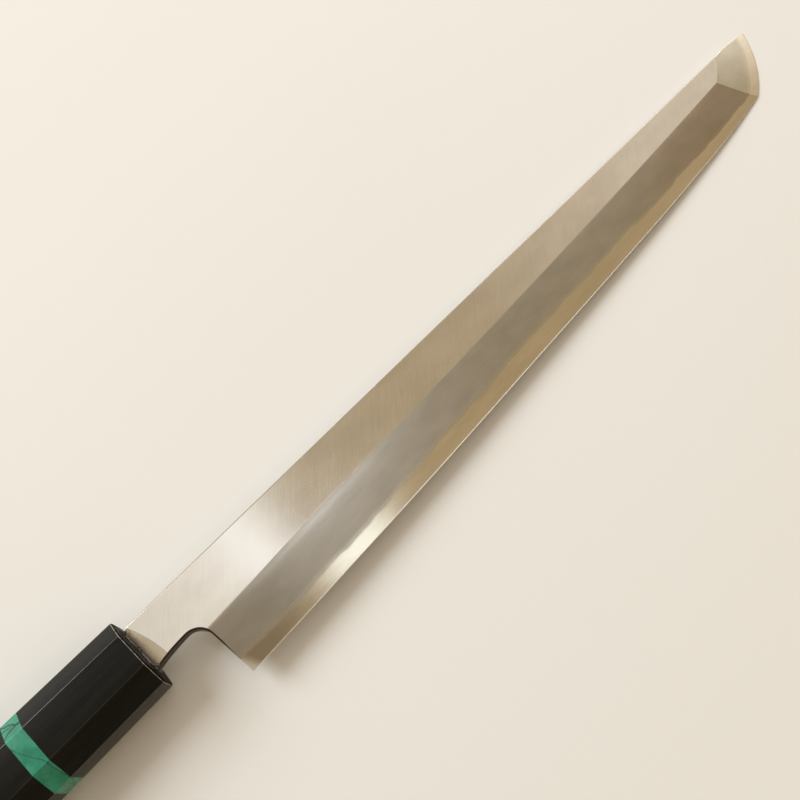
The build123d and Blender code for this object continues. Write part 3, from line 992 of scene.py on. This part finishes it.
def end_grain():
    """The ferrule's front: cut across the fibres, so it drank the black dye and stays dull."""
    finish = Finish("end_grain")
    fibres = finish.mottle((0.3, 2.6, 2.6), (12, 7, 5), detail=3.0, roughness=0.6)
    return finish.finished(
        tones=(fibres, (0.0012, 0.0012, 0.0009), (0.0040, 0.0037, 0.0028)),
        Specular_IOR_Level=0.06,
        Roughness=0.42 + 0.14 * fibres,
    )


def burnished_arris():
    """The long arrises: the same wood, closed and glossed by handling."""
    finish = Finish("burnished_arris")
    wear = finish.mottle((0.12, 0.8, 0.8), (40, 0, 3), detail=3.0)
    return finish.finished(
        tones=(wear, (0.004, 0.0038, 0.0032), (0.012, 0.011, 0.009)),
        Specular_IOR_Level=0.5,
        Roughness=0.16 + 0.1 * wear,
    )


def painted_edge_highlight():
    """The ferrule's front edge, lightened to a grey gloss as a painted highlight."""
    finish = Finish("painted_edge_highlight")
    wear = finish.mottle((0.5, 0.7, 0.7), (4, 2, 8), detail=4.0, roughness=0.65)
    # Painted highlight: grey lightening along the ferrule's front edge.
    highlight_share = finish.spread(wear, 0.30, 0.62)
    return finish.finished(
        tones=(highlight_share, (0.08, 0.075, 0.065), (0.34, 0.32, 0.28)),
        Roughness=0.25 + 0.1 * wear,
        bump=(wear, 1e-5),
    )


ring_front = -ferrule_length
ferrule_outside = octagon(
    [*chamfer_x, ring_front + joint_ease, ring_front], [*chamfer_inset, 0, joint_ease]
)
ferrule_slot = slot_mouth([0, -slot_depth])
ferrule_bore = rings([-slot_depth, ring_front], dowel_bore * unit_ring)
arris_finish = burnished_arris()
ferrule = build(
    "ferrule_shell",
    [
        (ferrule_outside[:4], 3),
        (ferrule_outside[3:5], 1),
        (ferrule_outside[4:], np.where(on_arris, 2, 0)),
        *between(ferrule_outside[0], ferrule_slot[0], finish=3),
        *between(*ferrule_slot, *ferrule_bore, ferrule_outside[-1]),
    ],
    [black_wood("ferrule_wood", (310, 4, 1)), painted_edge_highlight(), arris_finish, end_grain()],
)
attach(ferrule, "root")
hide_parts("ferrule")


# Stone ring. A slice of turquoise with its dark matrix, ground flush with the flats and
# polished, held between ferrule and body on the dowel.
ring_length = 5.7
body_front = ring_front - ring_length

# The stone's healed cracks: each a plane's direction and its distance from the knife's
# zero point in millimetres, how far it strays from flat, its width and its darkness.
cracks = (
    ((-0.854, -0.426, 0.299), 36.17, 0.9, 0.30, 0.60),
    ((-0.680, -0.451, 0.578), 25.20, 1.6, 0.55, 0.97),
    ((0.313, -0.692, 0.650), -11.67, 1.3, 0.46, 0.95),
    ((-0.310, -0.780, 0.540), 8.60, 1.2, 0.36, 0.90),
    ((0.350, 0.250, -0.900), -3.20, 1.2, 0.40, 0.85),
)


def turquoise():
    """Blue-green stone in soft clouds, crossed by thin dark healed cracks that wander, and
    by a fainter net of finer ones."""
    finish = Finish("turquoise")
    place = finish.on_knife(shift=(200, 11, 7))
    clouds = finish.noise(place, scale=0.16, detail=4.0, roughness=0.6)
    wander = finish.noise(place, scale=0.30, detail=5.0, roughness=0.62)
    warp = finish.node("TexNoise", {}, {"Vector": place, "Scale": 0.5, "Detail": 3.0}, output="Color")
    push = finish.node("VectorMath", {"operation": "SCALE"}, {0: warp, "Scale": 4.0})
    bent = {"Vector": finish.vector("ADD", place, push), "Scale": 0.16}
    net = finish.node("TexVoronoi", {"feature": "DISTANCE_TO_EDGE"}, bent, output="Distance")
    vein = 0.3 * (1 - finish.spread(net, 0.0, 0.03)) * finish.spread(clouds, 0.45, 0.62)
    for direction, distance, stray, width, darkness in cracks:
        sockets = {0: finish.on_knife(), 1: direction}
        across = finish.node("VectorMath", {"operation": "DOT_PRODUCT"}, sockets, output="Value")
        off = across - distance + 2 * stray * (wander - 0.5)
        gap = off.math("ABSOLUTE", off)
        line = 1 - finish.spread(gap / (width * (0.2 + 1.3 * clouds)), 0.2, 1.0)
        vein = vein.math("MAXIMUM", vein, darkness * line)
    deep, pale = (0.014, 0.185, 0.110), (0.038, 0.280, 0.180)
    stone = finish.blend(finish.spread(clouds, 0.35, 0.68), deep, pale)
    return finish.finished(
        tones=(vein, stone, (0.006, 0.035, 0.026)),
        Specular_IOR_Level=0.35,
        Roughness=0.22 + 0.1 * clouds + 0.1 * vein,
        bump=(1 - vein, 1e-5),
    )


ring_outside = octagon(
    [ring_front, ring_front - joint_ease, body_front + joint_ease, body_front],
    [joint_ease, 0, 0, joint_ease],
)
ring_bore = rings([ring_front, body_front], dowel_bore * unit_ring)
ring = build(
    "turquoise_ring",
    [(ring_outside, 0), *between(ring_outside[0], *ring_bore, ring_outside[-1])],
    [turquoise()],
)
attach(ring, "root")
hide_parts("stone_ring")


# Handle body. The same black hardwood, planed to eight flats that widen towards the
# butt, its end softened all round, and bored blind from the front for the dowel.
butt_x = -handle_length
butt_round_x = (butt_x + 1.4, butt_x + 1.1, butt_x + 0.12, butt_x)
butt_round_inset = (0, 0.1, 1.05, 1.3)
bore_end_x = -109.0

body_outside = octagon(
    [body_front, body_front - joint_ease, *butt_round_x], [joint_ease, 0, *butt_round_inset]
)
body_bore = rings([body_front, bore_end_x], dowel_bore * unit_ring)
body = build(
    "body",
    [
        (body_outside, np.where(on_arris, 1, 0)),
        *between(body_outside[-1], 0 * outline + (butt_x, 0, 0)),
        *between(body_outside[0], *body_bore, 0 * outline + (bore_end_x, 0, 0)),
    ],
    [black_wood("body_wood", (500, 31, 14)), arris_finish],
)
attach(body, "root")
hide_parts("handle_body")


# Dowel and tang filling, inside the handle. The dowel is turned from plain pale wood
# and glued through the three pieces; a pale amber resin fills its slot round the tang.
def plain_wood():
    """Straight-grained pale wood: rings round the dowel's pith, drawn out along it."""
    finish = Finish("plain_wood")
    place = finish.on_knife((0.04, 1, 1), (0, 3, 9))
    wander = finish.noise(place, scale=0.5)
    settings = {"wave_type": "RINGS", "rings_direction": "X"}
    sockets = {"Vector": place, "Scale": 0.35, "Distortion": 1.5, "Detail": 2.0}
    growth = finish.node("TexWave", settings, sockets, output="Fac")
    tone = 0.6 * growth + 0.4 * wander
    return finish.finished(
        tones=(tone, (0.62, 0.47, 0.30), (0.44, 0.30, 0.17)),
        Roughness=0.6 + 0.1 * wander,
        bump=(growth, 3e-5),
    )


def amber_resin():
    """Cured glue: cloudy amber, with small bubbles."""
    finish = Finish("amber_resin")
    place = finish.on_knife()
    clouds = finish.noise(place, scale=0.4)
    bubbles = finish.node("TexVoronoi", {}, {"Vector": place, "Scale": 1.2}, output="Distance")
    return finish.finished(
        tones=(clouds, (0.50, 0.33, 0.15), (0.62, 0.47, 0.27)),
        Roughness=0.3 + 0.2 * clouds,
        bump=(finish.spread(bubbles, 0.1, 0.3), 4e-5),
    )


for node, finish in (("dowel", plain_wood()), ("tang_adhesive", amber_resin())):
    materials = frame["nodes"][node].data.materials
    materials.clear()
    materials.append(finish)


# Mouth seal. Dark resin run round the neck where it enters the ferrule. It has crept a
# little up the steel here and there, and hangs in one drop at the neck's lower edge.
neck_half = (neck_mouth_height / 2, stock_thickness / 2)
bead_lap = 0.65
bead_height = 0.38
bead_skin = 0.12
bead_foot = -0.02
bead_drop = 0.2
bead_depth = 1.5
bead_sink = 0.3
slot_gap = 0.36
side_points, end_points, corner_points, bead_rows = 90, 20, 12, 10

# Each swelling of the bead: its place y, z on the neck's outline, its width, and how
# far it adds to the lap on the ferrule and to the height up the neck.
swellings = np.array([
    (-6.7, 2.0, 1.25, 0.50, 1.45),
    (7.8, 2.0, 0.70, 0.15, 0.50),
    (1.9, 2.0, 0.42, 0.05, 0.50),
    (0.5, 2.0, 0.42, 0.08, 0.42),
    (-3.6, 2.0, 1.30, 0.05, 0.08),
    (5.2, -2.0, 1.10, 0.20, 0.35),
    (-4.4, -2.0, 0.90, 0.10, 0.35),
    (-7.0, -2.0, 1.10, 0.25, 0.30),
])


def neck_outline():
    """Points round the neck's rectangle with their outward directions: at a corner the
    direction turns by a quarter, and then the point moves along the side to the next."""
    feet, turns = [], []
    sides = ((1, 1, side_points), (-1, 1, end_points), (-1, -1, side_points), (1, -1, end_points))
    for y, z, count in sides:
        corner = neck_middle + np.array([y, z]) * neck_half
        next_corner = neck_middle + np.array([-z, y]) * neck_half
        turn = math.atan2(z, y) - math.pi / 4 + np.linspace(0, math.pi / 2, corner_points)
        share = np.linspace(0, 1, count + 1)[1:-1, None]
        feet += [np.broadcast_to(corner, (corner_points, 2)), corner + (next_corner - corner) * share]
        turns += [turn, np.full(len(share), turn[-1])]
    feet, turns = np.concatenate(feet), np.concatenate(turns)
    closing = np.append(np.arange(len(feet)), 0)
    return feet[closing], turns[closing]


bead_feet, bead_turns = neck_outline()
away = np.linalg.norm(bead_feet[:, None] - swellings[:, :2], axis=-1)
swelling = np.exp(-((away / swellings[:, 2]) ** 2))
travel = np.linspace(0, 2 * math.pi, len(bead_feet))
unevenness = 0.03 * np.sin(5 * travel + 1) + 0.02 * np.sin(9 * travel) + 0.01 * np.sin(17 * travel + 2)
lap = bead_lap + swelling @ swellings[:, 3] + 0.8 * unevenness
height = bead_height + swelling @ swellings[:, 4] + unevenness

# Its section, row by row: over the lap and up the neck on a quarter of an ellipse, then
# into the neck, back across the slot's gap deep in the slot, and out to the foot.
arch = np.linspace(0, math.pi / 2, bead_rows)[:, None]
level = 0 * lap
bead_reach = np.vstack([
    bead_skin + (lap - bead_skin) * np.cos(arch),
    level - bead_sink, level - bead_sink, level + slot_gap, level + slot_gap,
])
bead_x = np.vstack([
    bead_foot + height * np.sin(arch),
    height - bead_drop, level - bead_depth, level - bead_depth, level + bead_foot,
])
bead = np.concatenate([bead_x[..., None], bead_feet + on_arc(0, bead_reach[..., None], bead_turns)], -1)
bead = np.concatenate([bead, bead[:1]])


def dark_resin():
    """Black-brown resin set to a gloss, thin and amber-brown here and there."""
    finish = Finish("dark_resin")
    clouds = finish.mottle((0.5, 0.5, 0.5), detail=3.0)
    black, amber = (0.004, 0.003, 0.0022), (0.022, 0.012, 0.006)
    return finish.finished(
        tones=(finish.spread(clouds, 0.4, 0.75), black, amber),
        Specular_IOR_Level=0.6,
        Roughness=0.07 + 0.06 * clouds,
        bump=(clouds, 2e-5),
    )


seal = build("resin_bead", [(bead, 0)], [dark_resin()], crease=math.radians(50))
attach(seal, "root")
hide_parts("mouth_seal")


# Floor. A wide board in matt pale paint. The knife lies on it, tipped forward on its
# ferrule's lower edge and its point.
floor_reach = 4.0


def pale_floor():
    """The board's paint, with clouds that hardly show."""
    finish = Finish("pale_floor")
    clouds = finish.mottle((0.004, 0.004, 0.004))
    return finish.finished(
        tones=(clouds, (0.78, 0.77, 0.75), (0.80, 0.79, 0.77)),
        Roughness=0.7,
    )


floor_corners = floor_reach * np.array([(-1, -1, 0), (1, -1, 0), (1, 1, 0), (-1, 1, 0)])
floor_mesh = bpy.data.meshes.new("floor")
floor_mesh.from_pydata(floor_corners, [], [(0, 1, 2, 3)])
floor_mesh.materials.append(pale_floor())
floor = put("floor", floor_mesh)


# Light. A large cool lamp at the picture's upper left lights the whole. Steel shows what
# it mirrors, so each small panel hangs where one face of the blade, or one length of
# it, reflects it, and a warm surround fills the rest. Places are on the knife's axes.
def stand(name, data, place, right, up):
    """Puts a lamp or the camera at its place, by its right and upward directions."""
    matrix = np.eye(4)
    matrix[:3, :3] = np.stack([right, up, np.cross(right, up)], 1)
    matrix[:3, 3] = on_table(place)
    holder = put(name, data)
    holder.matrix_world = Matrix(matrix)
    return holder


def lamp(name, place, aim, size, power, colour=(1, 1, 1)):
    """An area lamp, turned from its place to its aim and level across the blade."""
    light = bpy.data.lights.new(name, "AREA")
    light.shape = "RECTANGLE"
    light.size, light.size_y = size
    light.energy = power
    light.color = colour
    back = on_table(place) - on_table(aim)
    back /= np.linalg.norm(back)
    right = np.cross((0, 1, 0), back)
    right /= np.linalg.norm(right)
    stand(name, light, place, right, np.cross(back, right))


cool, cooler, pearl = (0.80, 0.88, 1.0), (0.69, 0.83, 1.0), (0.95, 0.95, 1.0)
lamp("key", (-780, 1650, 1500), (60, 0, 0), (1.0, 1.6), 43.0, (0.88, 0.95, 1.0))
lamp("flat_panel", (8, 235, 700), (20, 0, 0), (0.215, 0.20), 0.072, cool)
lamp("heel_glow", (96, 212, 700), (45, 0, 0), (0.065, 0.18), 0.027, cool)
lamp("ridge_panel", (166, 38, 700), (60, 0, 0), (0.06, 0.155), 0.168, cool)
lamp("edge_panel", (172, -198, 700), (65, -20, 0), (0.082, 0.11), 0.047, cooler)
lamp("hone_strip", (550, -455, 700), (550, -455, 0), (0.95, 0.09), 0.42)
lamp("spine_panel", (850, 860, 530), (220, 9, 0), (0.55, 1.0), 2.9)
lamp("tip_near", (810, 240, 700), (250, 0, 0), (0.58, 0.34), 0.06, pearl)
lamp("tip_far", (960, 240, 700), (250, 0, 0), (0.44, 0.34), 0.08, pearl)
lamp("point_panel", (1540, 240, 700), (290, 0, 0), (0.35, 0.30), 0.14, pearl)
lamp("glint", (1400, 480, 440), (0, 0, 0), (0.35, 0.30), 3.0)

world = bpy.data.worlds.new("studio")
world.use_nodes = True
surround = world.node_tree.nodes["Background"].inputs
surround["Color"].default_value = (0.49, 0.385, 0.25, 1)
surround["Strength"].default_value = 1.0
bpy.context.scene.world = world


# Camera. It stands where the photograph was taken from: its place, its turn and its lens
# are those of the pinhole camera that fits the knife's outline in the picture.
camera_place = (28.085, -85.432, 282.300)
camera_right = (0.6856109, -0.72761449, -0.02269003)
camera_down = (-0.67790969, -0.62679632, -0.38414167)

lens = bpy.data.cameras.new("camera")
lens.lens = 42.746
lens.sensor_width = 36.0
lens.clip_start = 0.01
right, up = np.array(camera_right) @ knife_axes, -np.array(camera_down) @ knife_axes
bpy.context.scene.camera = stand("camera", lens, camera_place, right, up)
bpy.context.scene.view_settings.view_transform = "Standard"
